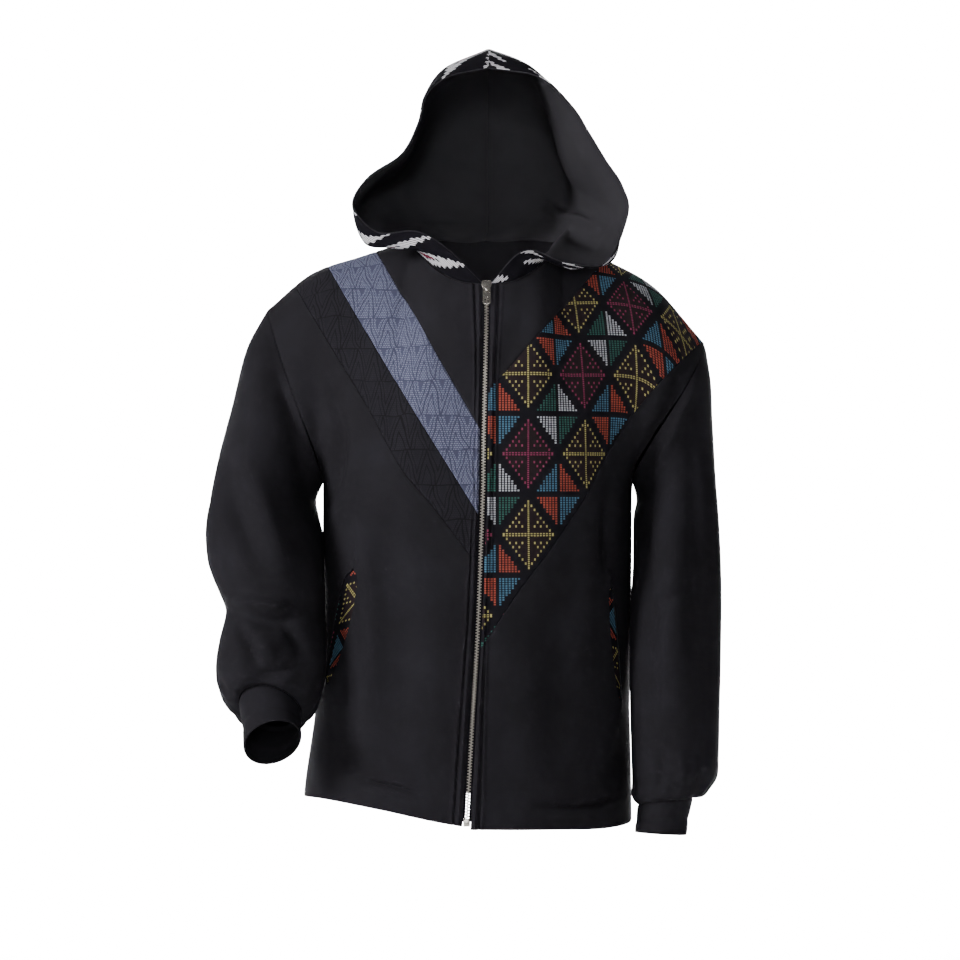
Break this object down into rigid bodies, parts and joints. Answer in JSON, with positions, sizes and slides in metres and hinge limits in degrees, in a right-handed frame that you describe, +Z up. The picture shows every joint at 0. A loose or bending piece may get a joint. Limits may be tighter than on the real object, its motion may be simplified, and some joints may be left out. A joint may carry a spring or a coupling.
{
  "type": "hooded zip jacket",
  "caption": "Hooded full-zip jacket in matt black knit, with a slanting pale band on one side of the chest and a woven diamond pattern on the other, worn form, hollow.",
  "frame": {"origin": "where the wearer's neck meets the shoulders: midway between the neck ends of the two shoulder seams, at their height", "axes": "+Z up, -Y is the front with the zip, +X is the wearer's left"},
  "size_m": [0.611, 0.3086, 0.9542],
  "materials": {
    "knit": "matt black dense knit with a smooth face",
    "blue_jacquard": "blue-grey woven jacquard",
    "black_jacquard": "black tone-on-tone jacquard",
    "print_cloth": "black woven cloth with a many-coloured diamond and triangle pattern",
    "brocade": "black brocade with pale and maroon motifs",
    "hood_lining": "plain black cloth",
    "zip_tape": "black woven tape",
    "zip_metal": "nickel finish"
  },
  "bodies": {
    "jacket": {"front_right_yoke": "knit", "front_right_blue_band": "blue_jacquard", "front_right_black_band": "black_jacquard", "front_right_panel": "knit", "front_left_yoke": "knit", "front_left_print": "print_cloth", "front_left_panel": "knit", "back": "knit", "sleeve_right": "knit", "cuff_right": "knit", "sleeve_left": "knit", "cuff_left": "knit", "hood_outer_right": "brocade", "hood_lining_right": "hood_lining", "hood_outer_left": "brocade", "hood_lining_left": "hood_lining", "pocket_facing_right": "print_cloth", "pocket_facing_left": "print_cloth", "zip_tape_right": "zip_tape", "zip_tape_left": "zip_tape", "zip_chain": "zip_metal", "zip_box": "zip_metal", "zip_slider": "zip_metal"},
    "tab": {"pull_tab": "zip_metal"}
  },
  "joints": [
    {"name": "pull_tab_hinge", "type": "hinge", "parent": "jacket", "child": "tab", "pos_m": [0.00544, -0.1194, -0.07153], "axis": [-1, 0, 0], "range_deg": [0, 125]}
  ]
}
